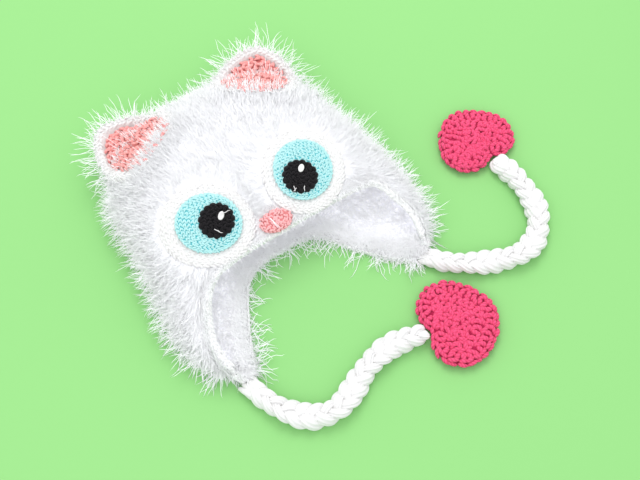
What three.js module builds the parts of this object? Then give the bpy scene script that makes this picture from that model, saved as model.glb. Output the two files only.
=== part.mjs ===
// Crocheted cat-ear hat with a shaggy coat, earflaps, braided ties and hearts. It lies on its back, face up.
// Millimetres. From above, +X is to the right of the face and +Y runs from the brim to the crown; +Z is up.
// The origin lies on the surface that the hat rests on, under the middle of the crown.

import * as THREE from 'three';

// Fabric
const WALL = 5; // crocheted fabric of the crown and flaps
const GAP = 0.45; // between pieces that are sewn or worked onto each other
const SEAT = 0.9; // under a curved applique, so that its flat facets clear the ones below
const BACKING = 1.2; // base of the shaggy coat, from which its locks stand
const LIFT = 0.05; // keeps what lies loose just above the table
const SAME = 0.002; // points that are closer than this are one

// Crown: where it closes, and how square its outlines are
const CROWN_TOP = 118; // Y of the far edge
const SHOULDER = 30; // Y where the sides start to draw in towards the far edge
const PLAN_ROUND = 2.6;
const ARCH_ROUND = 2.4;
const BELLY_ROUND = 5; // the side that lies on the table is the squarest
const FLATTEN = 1.03; // presses the belly's middle flat on the table

// Finished edge, worked round the brim and the flaps
const EDGING = { width: 8.6, thick: 5, sides: 6 };

// Grid of the fabric: columns stand at even steps along the edge, and this share of the rows lies in the cap
const COLUMNS = 56;
const ROWS = 17;
const CAP_ROWS = 0.45;

// Sections of the lying hat, from the crown's far edge to the tips of the flaps. Left and right are the folds'
// outermost X, fold is their height, and top is the height of the front layer in the middle.
const SECTIONS = [
  { y: 118, left: -107, right: 101, fold: 19, top: 50 },
  { y: 30, left: -107, right: 101, fold: 20, top: 51 },
  { y: 0, left: -109, right: 110, fold: 20, top: 50 },
  { y: -30, left: -113, right: 115, fold: 18, top: 43 },
  { y: -60, left: -119, right: 118, fold: 15, top: 36 },
  { y: -85, left: -120, right: 117, fold: 13, top: 30 },
  { y: -100, left: -118, right: 113, fold: 12, top: 26 },
  { y: -116, left: -112, right: 105, fold: 11, top: 22 },
  { y: -130, left: -104, right: 97, fold: 11, top: 20 },
  { y: -145, left: -96, right: 88, fold: 11, top: 18 },
];

// Edge of the fabric. Turn goes round a section in degrees: 0 at the right fold, 90 in front, 180 at the left
// fold and 270 at the back. The two low stretches are the earflaps.
const RIM = [
  { turn: -8, y: -121 },
  { turn: 5, y: -112 },
  { turn: 18, y: -90 },
  { turn: 25, y: -74 },
  { turn: 29, y: -61 },
  { turn: 34, y: -51 },
  { turn: 43, y: -45.5 },
  { turn: 60, y: -44.5 },
  { turn: 90, y: -44.5 },
  { turn: 118, y: -45 },
  { turn: 129, y: -48 },
  { turn: 137, y: -56 },
  { turn: 144, y: -68 },
  { turn: 151, y: -84 },
  { turn: 160, y: -103 },
  { turn: 176, y: -124 },
  { turn: 192, y: -133 },
  { turn: 210, y: -127 },
  { turn: 224, y: -107 },
  { turn: 232, y: -89 },
  { turn: 238, y: -70 },
  { turn: 244, y: -56 },
  { turn: 252, y: -48 },
  { turn: 268, y: -46 },
  { turn: 282, y: -49 },
  { turn: 290, y: -59 },
  { turn: 297, y: -78 },
  { turn: 309, y: -100 },
  { turn: 323, y: -113 },
  { turn: 338, y: -119 },
];

// Ears: an arch on each side, leaning out, with a lining in a raised border. x and y are of the middle of its
// chord, along which it crosses the crown's edge, and lean is in degrees from straight up to the left.
const EARS = [
  { side: 'left', x: -66, y: 98.5, lean: 28 },
  { side: 'right', x: 65, y: 101, lean: -34.5 },
];
const EAR = {
  halfWidth: 41,
  height: 45, // beyond the chord
  root: 27, // from the chord down onto the crown
  middle: -2, // of its rings, beyond the chord
  round: 1.5,
  footRound: 3.4,
  level: 22, // of its underside at the chord
  droop: 6, // of its underside from the chord to its tip
  cup: 3, // that its outline curls up
  floor: 2.4, // thickness under the lining
  border: 6.4, // thickness of the raised border
  lining: 3,
  clear: 2, // sideways to the crown, whose facets its own cut across
  standing: [-0.5, 0.1], // height round the rings, as a sine, over which the border comes up from the root
  columns: 28,
};

// Eyes and nose: ovals whose long axes point down to the nose; the inner rounds sit off the oval's centre
const EYES = [
  { side: 'left', x: -57, y: -14.5, turn: -43, pupil: [-49, -19.5], glint: [-44, -19.5] },
  { side: 'right', x: 43, y: -15.5, turn: 43, pupil: [34.5, -23], glint: [38.5, -18.5] },
];
const PATCH = { long: 42, short: 36, thick: 2.8, columns: 26 };
const IRIS = { long: 29.5, short: 26, thick: 2.4, columns: 20, shift: 1.6 };
const PUPIL = { long: 15.2, short: 14.6, thick: 2.2, columns: 16 };
const GLINT = { long: 4.4, short: 2.8, thick: 1, columns: 8, turn: 40 };
const NOSE = { x: -4.5, y: -44, long: 15.5, short: 9.5, turn: -6, thick: 4.2, columns: 16 };

// Shaggy coat: turns between which it covers the fabric, and the locks that stand on every second point of it
const COAT = { from: -22, to: 202, lock: 21, onTop: 0.5, lean: 9, clear: 3, lowest: 3 };

// Ties: the middle of each braid from the flap's tip to its heart, as it lies on the table
const TIE = { width: 22.5, thick: 13.5, sides: 8, steps: 26 };
const TIES = [
  {
    side: 'left',
    route: [
      [-98, -145],
      [-93.5, -162],
      [-82.5, -182.5],
      [-69.5, -196.5],
      [-51, -202.5],
      [-31, -197.5],
      [-7, -187],
      [17, -182.5],
      [36, -185.5],
      [53.3, -189.2],
    ],
  },
  {
    side: 'right',
    route: [
      [97, -131],
      [106, -144],
      [126, -159],
      [148, -171],
      [169.5, -176.5],
      [188.5, -172.5],
      [202.5, -160.5],
      [212.5, -140],
      [215, -114.5],
      [211.4, -86.4],
    ],
  },
];

// Hearts: reach from the middle by angle from the blunt point, the same on both sides
const HEART_THICK = 9;
const HEART_EDGE_RISE = 2.7; // of the rim's underside above the table
const HEART_FOOT = 0.9; // share of the outline that the heart stands on
const HEART_OUTLINE = [
  { angle: 0, reach: 33 },
  { angle: 30, reach: 31 },
  { angle: 60, reach: 33 },
  { angle: 85, reach: 36.5 },
  { angle: 110, reach: 39 },
  { angle: 132, reach: 38.5 },
  { angle: 152, reach: 34.5 },
  { angle: 168, reach: 28 },
  { angle: 180, reach: 25 },
];
const HEARTS = [
  { side: 'left', x: 83.5, y: -197, point: -12, size: 1.03 },
  { side: 'right', x: 209.5, y: -56, point: 92, size: 0.97 },
];

const COLOURS = {
  white: 0xf4f3f1,
  shag: 0xf8f8fa,
  pink: 0xf3a0a3,
  blue: 0x7fd3dc,
  black: 0x1c1b1d,
  rose: 0xdb3a6a,
};

function material(color, roughness) {
  return new THREE.MeshStandardMaterial({ color, roughness, metalness: 0 });
}

const YARN = material(COLOURS.white, 0.9);
const SHAG = material(COLOURS.shag, 0.8);
const PINK = material(COLOURS.pink, 0.9);
const BLUE = material(COLOURS.blue, 0.9);
const BLACK = material(COLOURS.black, 0.85);
const ROSE = material(COLOURS.rose, 0.9);

const radians = THREE.MathUtils.degToRad;

// Curves

// A value of a table at a place: rows are sorted by key, and the ends hold beyond the table.
function lookUp(table, key, place, column) {
  const sign = Math.sign(table[table.length - 1][key] - table[0][key]);
  const next = table.findIndex((row) => sign * (row[key] - place) >= 0);
  if (next === 0) return table[0][column];
  if (next < 0) return table[table.length - 1][column];
  const [a, b] = [table[next - 1], table[next]];
  return THREE.MathUtils.lerp(a[column], b[column], (place - a[key]) / (b[key] - a[key]));
}

// Smooth value of a table that closes on itself every full turn.
function lookUpRound(table, key, place, column) {
  const count = table.length;
  const at = ((((place - table[0][key]) % 360) + 360) % 360) + table[0][key];
  let i = table.findIndex((row) => row[key] > at);
  if (i < 0) i = count;
  const row = (n) => ({
    place: table[(n + count) % count][key] + 360 * Math.floor(n / count),
    value: table[(n + count) % count][column],
  });
  const [before, a, b, after] = [row(i - 2), row(i - 1), row(i), row(i + 1)];
  const slopeA = (b.value - before.value) / (b.place - before.place);
  const slopeB = (after.value - a.value) / (after.place - a.place);
  const span = b.place - a.place;
  const u = (at - a.place) / span;
  return (
    a.value * (1 + 2 * u) * (1 - u) ** 2 +
    slopeA * span * u * (1 - u) ** 2 +
    b.value * u * u * (3 - 2 * u) +
    slopeB * span * u * u * (u - 1)
  );
}

// The rest of a superellipse at a share of its half-length.
const roundOff = (share, power) => (1 - Math.min(1, Math.abs(share)) ** power) ** (1 / power);

// Hat surface

// Measures of the section at y, of a surface that lies inset inside the fabric's outer face.
function sectionAt(y, inset) {
  const [left, right, fold, top] = ['left', 'right', 'fold', 'top'].map((column) =>
    lookUp(SECTIONS, 'y', y, column),
  );
  const closing = THREE.MathUtils.clamp((y - SHOULDER) / (CROWN_TOP - inset - SHOULDER), 0, 1);
  return {
    middle: (left + right) / 2,
    half: ((right - left) / 2 - inset) * roundOff(closing, PLAN_ROUND),
    fold,
    rise: (top - fold - inset) * Math.sqrt(1 - closing ** ARCH_ROUND),
    drop: (fold - inset) * roundOff(closing, BELLY_ROUND),
  };
}

// Point of that surface at a turn round the section.
function hatPoint(turn, y, inset = 0) {
  const s = sectionAt(y, inset);
  const across = Math.cos(radians(turn));
  const front = Math.sin(radians(turn)) >= 0;
  const arch = Math.sqrt(1 - Math.abs(across) ** ARCH_ROUND);
  const belly = Math.min(1, FLATTEN * roundOff(across, BELLY_ROUND));
  const z = front ? s.fold + s.rise * arch : Math.max(inset, s.fold - s.drop * belly);
  return new THREE.Vector3(s.middle + s.half * across, y, z);
}

const rimY = (turn) => lookUpRound(RIM, 'turn', turn, 'y');

// Height of that surface over a place in plan, or of the fold outside it.
function frontHeight(x, y, inset = 0) {
  const s = sectionAt(Math.min(y, CROWN_TOP - inset), inset);
  const across = s.half > 0 ? Math.min(1, Math.abs(x - s.middle) / s.half) : 1;
  return s.fold + s.rise * Math.sqrt(1 - across ** ARCH_ROUND);
}

// Y of each row from the crown's far edge, where the surface ends in one point, to its hem.
function rowY(share, hem, inset) {
  if (share >= CAP_ROWS) {
    return THREE.MathUtils.lerp(SHOULDER, hem, (share - CAP_ROWS) / (1 - CAP_ROWS));
  }
  const swing = (Math.PI / 2) * (share / CAP_ROWS);
  return SHOULDER + (CROWN_TOP - inset - SHOULDER) * Math.cos(swing);
}

// Solids

// One closed solid between an outer grid of points and an inner one. Rows run away from a pole or edge, columns
// run so that their direction crossed with the rows' points out, and loop joins the last column to the first.
function solidBetween(outer, inner, loop) {
  const vertices = [];
  const known = new Map();
  const index = [];
  const vertex = (p) => {
    const key = [p.x, p.y, p.z].map((v) => Math.round(v / SAME)).join();
    if (!known.has(key)) {
      known.set(key, vertices.length / 3);
      vertices.push(p.x, p.y, p.z);
    }
    return known.get(key);
  };
  const face = (...points) => {
    const [a, b, c] = points.map(vertex);
    if (a !== b && b !== c && c !== a) index.push(a, b, c);
  };
  const quad = (a, b, c, d) => {
    face(a, b, d);
    face(b, c, d);
  };
  // The same split of a quad, seen from its other side
  const quadBack = (a, b, c, d) => {
    face(a, d, b);
    face(b, d, c);
  };
  const rows = outer.length;
  const columns = outer[0].length;
  const spans = loop ? columns : columns - 1;
  for (let r = 0; r < rows - 1; r++) {
    for (let c = 0; c < spans; c++) {
      const n = (c + 1) % columns;
      quad(outer[r][c], outer[r][n], outer[r + 1][n], outer[r + 1][c]);
      quadBack(inner[r][c], inner[r][n], inner[r + 1][n], inner[r + 1][c]);
    }
    if (!loop) {
      const end = columns - 1;
      quad(outer[r + 1][0], inner[r + 1][0], inner[r][0], outer[r][0]);
      quad(outer[r][end], inner[r][end], inner[r + 1][end], outer[r + 1][end]);
    }
  }
  for (let c = 0; c < spans; c++) {
    const n = (c + 1) % columns;
    quad(outer[0][n], outer[0][c], inner[0][c], inner[0][n]);
    quad(outer[rows - 1][c], outer[rows - 1][n], inner[rows - 1][n], inner[rows - 1][c]);
  }
  const geometry = new THREE.BufferGeometry();
  geometry.setAttribute('position', new THREE.Float32BufferAttribute(vertices, 3));
  geometry.setIndex(index);
  geometry.computeVertexNormals();
  return geometry;
}

const grid = (rows, columns, point) =>
  Array.from({ length: rows }, (_, r) => Array.from({ length: columns }, (_, c) => point(r, c)));

// Turns that are evenly spaced along the edge of the fabric
function evenTurns(count, samples = 720) {
  const walk = [{ turn: 0, length: 0 }];
  for (let i = 1; i <= samples; i++) {
    const turn = (360 * i) / samples;
    const before = walk[i - 1];
    const step = hatPoint(turn, rimY(turn)).distanceTo(hatPoint(before.turn, rimY(before.turn)));
    walk.push({ turn, length: before.length + step });
  }
  const total = walk[samples].length;
  return Array.from({ length: count }, (_, i) => lookUp(walk, 'length', (total * i) / count, 'turn'));
}

const TURNS = evenTurns(COLUMNS);

// Point of the fabric's grid on a surface that lies inset inside its outer face
function fabricPoint(row, turn, inset) {
  return hatPoint(turn, rowY(row / (ROWS - 1), rimY(turn), inset), inset);
}

// Crown with its earflaps, in one piece of fabric
function crown() {
  const face = (inset) => grid(ROWS, COLUMNS, (r, c) => fabricPoint(r, TURNS[c], inset));
  return solidBetween(face(0), face(WALL), true);
}

// Middle of the fabric's cut edge, the direction through the fabric there, and the one that leads off the edge
function rimFrame(i) {
  const at = (n, inset) => fabricPoint(ROWS - 1, TURNS[(n + COLUMNS) % COLUMNS], inset);
  const edge = at(i, WALL / 2);
  const before = edge.clone().sub(at(i - 1, WALL / 2)).normalize();
  const after = at(i + 1, WALL / 2).sub(edge).normalize();
  const through = at(i, 0).sub(at(i, WALL)).normalize();
  const mitre = Math.sqrt(2 / (1 + before.dot(after)));
  const off = through.clone().cross(before.add(after)).normalize();
  return { edge, off, through, mitre };
}

// Finished edge round the brim and flaps
function edging() {
  const { width, thick, sides } = EDGING;
  const ring = (i) => {
    const { edge, off, through, mitre } = rimFrame(i);
    const middle = edge.addScaledVector(off, (GAP + width / 2) * mitre);
    return Array.from({ length: sides }, (_, n) => {
      const angle = (2 * Math.PI * (n + 0.5)) / sides;
      const p = middle.clone().addScaledVector(off, (-width / 2) * Math.sin(angle));
      p.addScaledVector(through, (thick / 2) * Math.cos(angle));
      return p.setZ(Math.max(0, p.z));
    });
  };
  return loopedTube(TURNS.map((_, i) => ring(i)));
}

// Closed tube through rings of points that end where they began
function loopedTube(rings) {
  const sides = rings[0].length;
  const index = [];
  rings.forEach((_, i) => {
    const next = ((i + 1) % rings.length) * sides;
    for (let s = 0; s < sides; s++) {
      const t = (s + 1) % sides;
      index.push(i * sides + s, i * sides + t, next + s);
      index.push(i * sides + t, next + t, next + s);
    }
  });
  const geometry = new THREE.BufferGeometry().setFromPoints(rings.flat());
  geometry.setIndex(index);
  geometry.computeVertexNormals();
  return geometry;
}

// Appliques

const ellipse = (long, short) => (angle) =>
  new THREE.Vector2(long * Math.cos(angle), short * Math.sin(angle));

// A pad of any outline round (0, 0), which lies on the heights that under gives. Profile lists its rings from
// the middle out: share of the outline, and how much of the thickness it has there.
const PAD_PROFILE = [
  { share: 0, height: 1 },
  { share: 0.48, height: 1 },
  { share: 0.88, height: 0.9 },
  { share: 1, height: 0.4 },
];

function padGeometry({ outline, place, under, thick, columns, profile = PAD_PROFILE }) {
  const face = (lift) =>
    grid(profile.length, columns, (r, c) => {
      const rim = outline((-2 * Math.PI * c) / columns);
      const p = place(rim.multiplyScalar(profile[r].share));
      return new THREE.Vector3(p.x, p.y, under(p.x, p.y, profile[r].share) + lift(profile[r]));
    });
  return solidBetween(
    face((row) => thick * row.height),
    face(() => 0),
    true,
  );
}

// Moves a flat point to a centre after a turn in degrees.
const placed = (x, y, turn) => (p) =>
  p.clone().rotateAround(new THREE.Vector2(), radians(turn)).add(new THREE.Vector2(x, y));

// Height of an oval pad's top over a place, for what is sewn onto it.
function padTop({ x, y, turn, long, short, thick, under }) {
  return (px, py) => {
    const p = new THREE.Vector2(px - x, py - y).rotateAround(new THREE.Vector2(), -radians(turn));
    const share = Math.hypot(p.x / long, p.y / short);
    return under(px, py) + thick * lookUp(PAD_PROFILE, 'share', share, 'height');
  };
}

const coatTop = (x, y) => frontHeight(x, y, -(GAP + BACKING));

function ovalPad({ x, y, turn, long, short, thick, under, columns }) {
  const outline = ellipse(long, short);
  return padGeometry({ outline, place: placed(x, y, turn), under, thick, columns });
}

// White patch, iris, pupil and glint of one eye, each sewn onto the one below
function eye({ side, x, y, turn, pupil, glint }) {
  const group = new THREE.Group();
  const towardsNose = side === 'left' ? 1 : -1;
  const layers = [
    { name: 'patch', ...PATCH, x, y, turn, material: YARN },
    { name: 'iris', ...IRIS, x: x + towardsNose * IRIS.shift, y: y - IRIS.shift, turn, material: BLUE },
    { name: 'pupil', ...PUPIL, x: pupil[0], y: pupil[1], turn: 0, material: BLACK },
    { name: 'glint', ...GLINT, x: glint[0], y: glint[1], material: YARN },
  ];
  let top = coatTop;
  for (const layer of layers) {
    const below = top;
    const pad = { ...layer, under: (px, py) => below(px, py) + SEAT };
    addPiece(group, `${side}_eye_${layer.name}`, ovalPad(pad), layer.material);
    top = padTop(pad);
  }
  return group;
}

function nose() {
  return ovalPad({ ...NOSE, under: (x, y) => coatTop(x, y) + SEAT });
}

// Ears

// Rings of the ear from its middle out. Foot is the ring's share towards the root, where the rings crowd
// together, so that the lining runs down almost to the root. The lining has its own rings, and the border stands
// outside it.
const EAR_RINGS = [
  { share: 0, foot: 0, lining: 1 },
  { share: 0.26, foot: 0.32, lining: 1 },
  { share: 0.51, foot: 0.63, lining: 0.9 },
  { share: 0.74, foot: 0.92, lining: 0.4 },
  { share: 0.77, foot: 0.93 },
  { share: 0.81, foot: 0.94, rise: 1 },
  { share: 0.95, foot: 0.98, rise: 1 },
  { share: 1, foot: 1, rise: 0.4 },
];

// Point of one of an ear's rings, from their common middle
function earRing({ share, foot }, angle) {
  const { halfWidth, height, root, round, footRound, middle } = EAR;
  const [c, s] = [Math.cos(angle), Math.sin(angle)];
  const power = 2 / (s >= 0 ? round : footRound);
  const reach = s >= 0 ? share * (height - middle) : foot * (root + middle);
  const x = share * halfWidth * Math.sign(c) * Math.abs(c) ** power;
  return new THREE.Vector2(x, reach * Math.sign(s) * Math.abs(s) ** power);
}

// Place in plan of a point that is measured from the rings' middle
function earPlace({ x, y, lean }) {
  const place = placed(x, y, lean);
  return (p) => place(p.clone().add(new THREE.Vector2(0, EAR.middle)));
}

// Height under the ear: it lies on the crown's edge, droops beyond it and curls up towards its outline
function earUnder({ x: rootX, y: rootY, lean }) {
  const up = placed(0, 0, lean)(new THREE.Vector2(0, 1));
  const root = new THREE.Vector2(rootX, rootY);
  const around = Array.from({ length: 8 }, (_, i) => ellipse(EAR.clear, EAR.clear)((Math.PI * i) / 4));
  return (x, y, share) => {
    const out = new THREE.Vector2(x, y).sub(root).dot(up);
    const free = EAR.level - (EAR.droop * Math.max(0, out)) / EAR.height;
    const crownTops = around.map((p) => coatTop(x + p.x, y + p.y));
    return Math.max(free, ...crownTops.map((z) => z + GAP)) + EAR.cup * share ** 2;
  };
}

// Grid of an ear's points over the given rings, with a height above its underside for each
function earGrid(ear, rings, height) {
  const place = earPlace(ear);
  const under = earUnder(ear);
  return grid(rings.length, EAR.columns, (r, c) => {
    const angle = (-2 * Math.PI * c) / EAR.columns;
    const { x, y } = place(earRing(rings[r], angle));
    return new THREE.Vector3(x, y, under(x, y, rings[r].share) + height(rings[r], angle));
  });
}

function earBack(ear) {
  const { floor, border } = EAR;
  const outer = earGrid(ear, EAR_RINGS, ({ rise = 0 }, angle) => {
    const standing = THREE.MathUtils.smoothstep(Math.sin(angle), ...EAR.standing);
    return floor + rise * standing * (border - floor);
  });
  return solidBetween(outer, earGrid(ear, EAR_RINGS, () => 0), true);
}

function earLining(ear) {
  const rings = EAR_RINGS.filter((ring) => ring.lining);
  const floor = EAR.floor + SEAT;
  const outer = earGrid(ear, rings, (ring) => floor + EAR.lining * ring.lining);
  return solidBetween(outer, earGrid(ear, rings, () => floor), true);
}

// Shaggy coat

// Whether a place in plan is under an eye patch, the nose or an ear.
function isCovered({ x, y }) {
  const { clear } = COAT;
  const inOval = ({ x: cx, y: cy, turn }, { long, short }) => {
    const p = new THREE.Vector2(x - cx, y - cy).rotateAround(new THREE.Vector2(), -radians(turn));
    return Math.hypot(p.x / (long + clear), p.y / (short + clear)) < 1;
  };
  const inEar = ({ x: rootX, y: rootY, lean }) => {
    const p = new THREE.Vector2(x - rootX, y - rootY).rotateAround(new THREE.Vector2(), -radians(lean));
    return Math.abs(p.x) < EAR.halfWidth + clear && p.y > -EAR.root - clear;
  };
  return EYES.some((place) => inOval(place, PATCH)) || inOval(NOSE, NOSE) || EARS.some(inEar);
}

// Backing over the front and the folds, with a lock pulled out of every second point of every second row. It
// shares the crown's grid, up to the row before its edge. Locks are shorter on top, and lean towards the brim.
function coat() {
  const { from, to, lock, onTop, lean, lowest } = COAT;
  const turns = [...TURNS.map((turn) => turn - 360), ...TURNS].filter((t) => t >= from && t <= to);
  const face = (inset) =>
    grid(ROWS - 1, turns.length, (r, c) => fabricPoint(r, turns[c], inset));
  const inner = face(-GAP);
  const outer = face(-(GAP + BACKING));
  const standing = outer.map((row, r) =>
    row.map((p, c) => {
      const inside = r > 0 && r < ROWS - 2 && c > 0 && c < turns.length - 1;
      if (!inside || r % 2 === 0 || (c + (r >> 1)) % 2 === 1) return p;
      const cell = [-1, 0, 1].flatMap((dr) => [-1, 0, 1].map((dc) => outer[r + dr][c + dc]));
      if (cell.some(isCovered)) return p;
      const around = outer[r][c + 1].clone().sub(outer[r][c - 1]);
      const down = outer[r + 1][c].clone().sub(outer[r - 1][c]).normalize();
      const normal = around.cross(down).normalize();
      const length = lock * THREE.MathUtils.lerp(1, onTop, Math.max(0, normal.z));
      const tip = p.clone().addScaledVector(normal, length).addScaledVector(down, lean);
      return tip.setZ(Math.max(tip.z, lowest));
    }),
  );
  return solidBetween(standing, inner, false);
}

// Ties and hearts

function tie({ route }) {
  const { width, thick, sides, steps } = TIE;
  const path = new THREE.CatmullRomCurve3(
    route.map(([x, y]) => new THREE.Vector3(x, y, thick / 2 + LIFT)),
    false,
    'centripetal',
  );
  const section = new THREE.Shape(
    Array.from({ length: sides }, (_, i) => ellipse(thick / 2, width / 2)((2 * Math.PI * i) / sides)),
  );
  return new THREE.ExtrudeGeometry(section, { steps, bevelEnabled: false, extrudePath: path });
}

function heart({ x, y, point, size }) {
  const outline = (angle) => {
    const turned = Math.abs(THREE.MathUtils.euclideanModulo(angle + Math.PI, 2 * Math.PI) - Math.PI);
    const reach = size * lookUp(HEART_OUTLINE, 'angle', THREE.MathUtils.radToDeg(turned), 'reach');
    return new THREE.Vector2(reach * Math.cos(angle), reach * Math.sin(angle));
  };
  const rise = (share) => HEART_EDGE_RISE * Math.max(0, (share - HEART_FOOT) / (1 - HEART_FOOT)) ** 2;
  return padGeometry({
    outline,
    place: placed(x, y, point),
    under: (px, py, share) => LIFT + rise(share),
    thick: HEART_THICK,
    columns: 32,
    profile: [
      { share: 0, height: 1 },
      { share: 0.5, height: 1 },
      { share: 0.86, height: 0.9 },
      { share: HEART_FOOT, height: 0.82 },
      { share: 1, height: 0.35 },
    ],
  });
}

// Assembly

function addPiece(group, name, geometry, pieceMaterial) {
  const mesh = new THREE.Mesh(geometry, pieceMaterial);
  mesh.name = name;
  group.add(mesh);
}

const hat = new THREE.Group();
addPiece(hat, 'crown', crown(), YARN);
addPiece(hat, 'brim_edging', edging(), YARN);
addPiece(hat, 'shaggy_coat', coat(), SHAG);
for (const ear of EARS) {
  addPiece(hat, `${ear.side}_ear_back`, earBack(ear), YARN);
  addPiece(hat, `${ear.side}_ear_lining`, earLining(ear), PINK);
}
EYES.forEach((place) => hat.add(eye(place)));
addPiece(hat, 'nose', nose(), PINK);
TIES.forEach((row) => addPiece(hat, `${row.side}_tie`, tie(row), YARN));
HEARTS.forEach((row) => addPiece(hat, `${row.side}_heart`, heart(row), ROSE));

export default hat;
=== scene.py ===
# Dresses a packed cat-ear hat: crocheted yarn, a shaggy coat, plaited ties with hearts, on a plain table.
# Metres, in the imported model's own frame: +X to the right of the face, +Y to the crown's far edge, +Z up.

import math

import bmesh
import bpy
import numpy as np
from mathutils import Matrix, Vector
from mathutils.bvhtree import BVHTree


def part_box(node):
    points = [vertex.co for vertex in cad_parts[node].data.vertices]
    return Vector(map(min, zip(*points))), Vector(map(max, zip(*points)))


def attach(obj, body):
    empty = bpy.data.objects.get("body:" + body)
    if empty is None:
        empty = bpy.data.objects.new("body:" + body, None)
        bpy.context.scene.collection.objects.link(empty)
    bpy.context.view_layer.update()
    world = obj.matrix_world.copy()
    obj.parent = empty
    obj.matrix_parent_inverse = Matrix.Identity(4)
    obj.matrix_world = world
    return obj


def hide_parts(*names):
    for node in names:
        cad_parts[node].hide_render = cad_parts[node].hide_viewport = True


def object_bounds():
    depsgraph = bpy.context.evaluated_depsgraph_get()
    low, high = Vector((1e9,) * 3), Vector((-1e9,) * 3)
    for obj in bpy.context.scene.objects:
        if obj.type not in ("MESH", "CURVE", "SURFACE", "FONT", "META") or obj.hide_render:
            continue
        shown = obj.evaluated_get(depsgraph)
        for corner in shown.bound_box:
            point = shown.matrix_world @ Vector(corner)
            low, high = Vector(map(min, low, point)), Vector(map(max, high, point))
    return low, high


bl_info = {
    "name": "Cat-Ear Hat Dresser",
    "version": (1, 0, 0),
    "blender": (4, 5, 0),
    "location": "View3D > Sidebar > Hat",
    "description": "Works the crochet, the shaggy coat, the plaited ties and the hearts onto a packed hat",
    "category": "Object",
}

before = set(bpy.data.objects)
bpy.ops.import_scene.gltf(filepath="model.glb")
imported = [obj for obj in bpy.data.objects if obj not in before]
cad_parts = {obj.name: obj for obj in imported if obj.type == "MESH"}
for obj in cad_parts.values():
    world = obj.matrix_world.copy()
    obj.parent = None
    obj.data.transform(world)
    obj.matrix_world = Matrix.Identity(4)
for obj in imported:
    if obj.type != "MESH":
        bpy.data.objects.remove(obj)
CAD_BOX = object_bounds()
MM = 0.001
SIDES = ("left", "right")
# How far the coat may stand out of the solids' box, and how high above the table's top everything stays
GROWTH = MM * np.array((19, 19, 10))
LIMITS = (np.array(CAD_BOX[0]) - GROWTH, np.array(CAD_BOX[1]) + GROWTH)
ON_TABLE = 0.05 * MM
UP = np.array((0, 0, 1.0))

# Shape of the lying hat, as its solids have it. Sections run from the flaps' tips to the crown's far edge:
# y, left fold, right fold, height of the folds, height of the front layer's middle.
SECTIONS = MM * np.array(
    (
        (-145, -96, 88, 11, 18),
        (-130, -104, 97, 11, 20),
        (-116, -112, 105, 11, 22),
        (-100, -118, 113, 12, 26),
        (-85, -120, 117, 13, 30),
        (-60, -119, 118, 15, 36),
        (-30, -113, 115, 18, 43),
        (0, -109, 110, 20, 50),
        (30, -107, 101, 20, 51),
        (118, -107, 101, 19, 50),
    )
)
# Edge of the fabric: turn round a section in degrees, from the right fold over the front, and its y
RIM = np.array(
    (
        *((-8, -121), (5, -112), (18, -90), (25, -74), (29, -61), (34, -51), (43, -45.5), (60, -44.5)),
        *((90, -44.5), (118, -45), (129, -48), (137, -56), (144, -68), (151, -84), (160, -103), (176, -124)),
        *((192, -133), (210, -127), (224, -107), (232, -89), (238, -70), (244, -56), (252, -48), (268, -46)),
        *((282, -49), (290, -59), (297, -78), (309, -100), (323, -113), (338, -119)),
    )
)
CROWN_TOP, SHOULDER = 118 * MM, 30 * MM
# Powers of the rounds: in plan, over the front and under the back, which is flattened a little
PLAN_ROUND, ARCH_ROUND, BELLY_ROUND, FLATTEN = 2.6, 2.4, 5, 1.03
# Share of the way from the crown's far edge to the hem that the cap takes
CAP_SHARE = 0.45
WALL = 5 * MM
COAT_LIFT, HEM_SHARE = 1.6 * MM, 0.03
EDGE_WIDTH, EDGE_THICK = 8.6 * MM, 5 * MM
# Turns of the whole fabric, its inner side, the coat's strands, its backing and the brim's fringe
WHOLE_TURNS, INNER_TURNS, COAT_TURNS = (-22, 338), (188, 352), (-34, 214)
BACKING_TURNS, BRIM_TURNS = (-22, 202), (200, 345)

# Ears: middle of the foot in millimetres and lean to the left in degrees, and strands at that foot
EARS = {"left": (-66, 98.5, 28), "right": (65, 101, -34.5)}
EAR_VEILS = {"left": 1150, "right": 700}
# The rings' middle beyond the foot, and half the foot's width and its distance from that middle
EAR_MIDDLE, EAR_HALF, EAR_ROOT = -2 * MM, 41 * MM, 27 * MM
# Eyes and nose: middle in millimetres, turn in degrees, long and short half-lengths in millimetres
BARE = ((-57, -14.5, -43, 42, 36), (43, -15.5, 43, 42, 36), (-4.5, -44, -6, 15.5, 9.5))
NOSE = MM * np.array(BARE[2][:2])
# Loose ends of thread on each pupil: its middle in millimetres, and where they start and end from there
THREADS = {
    "left": ((-49, -19.5), ((4.5, 1), (-6, -11), (-7, -9)), ((14, -1), (-3, -16), (-4, -14))),
    "right": ((34.5, -23), ((-4, -13), (-12, -8), (-11, -11)), ((-7, -17), (-13, -13), (-15, -12))),
}
# Hearts: middle in millimetres and direction of the blunt point in degrees, and where the stems of a lobe's
# stitches begin, from the middle along that direction and to each side
HEARTS = {"left": (83.5, -197, -12), "right": (209.5, -56, 92)}
LOBE = (-7, 17)

# Rounds of stitches, from the outside in, as shares of a piece's reach
EAR_ROUNDS = (0.96, 0.87)
LINING_ROUNDS = (0.93, 0.74, 0.55, 0.36, 0.16)
NOSE_ROUNDS = (0.88, 0.6, 0.3, 0.05)
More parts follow.
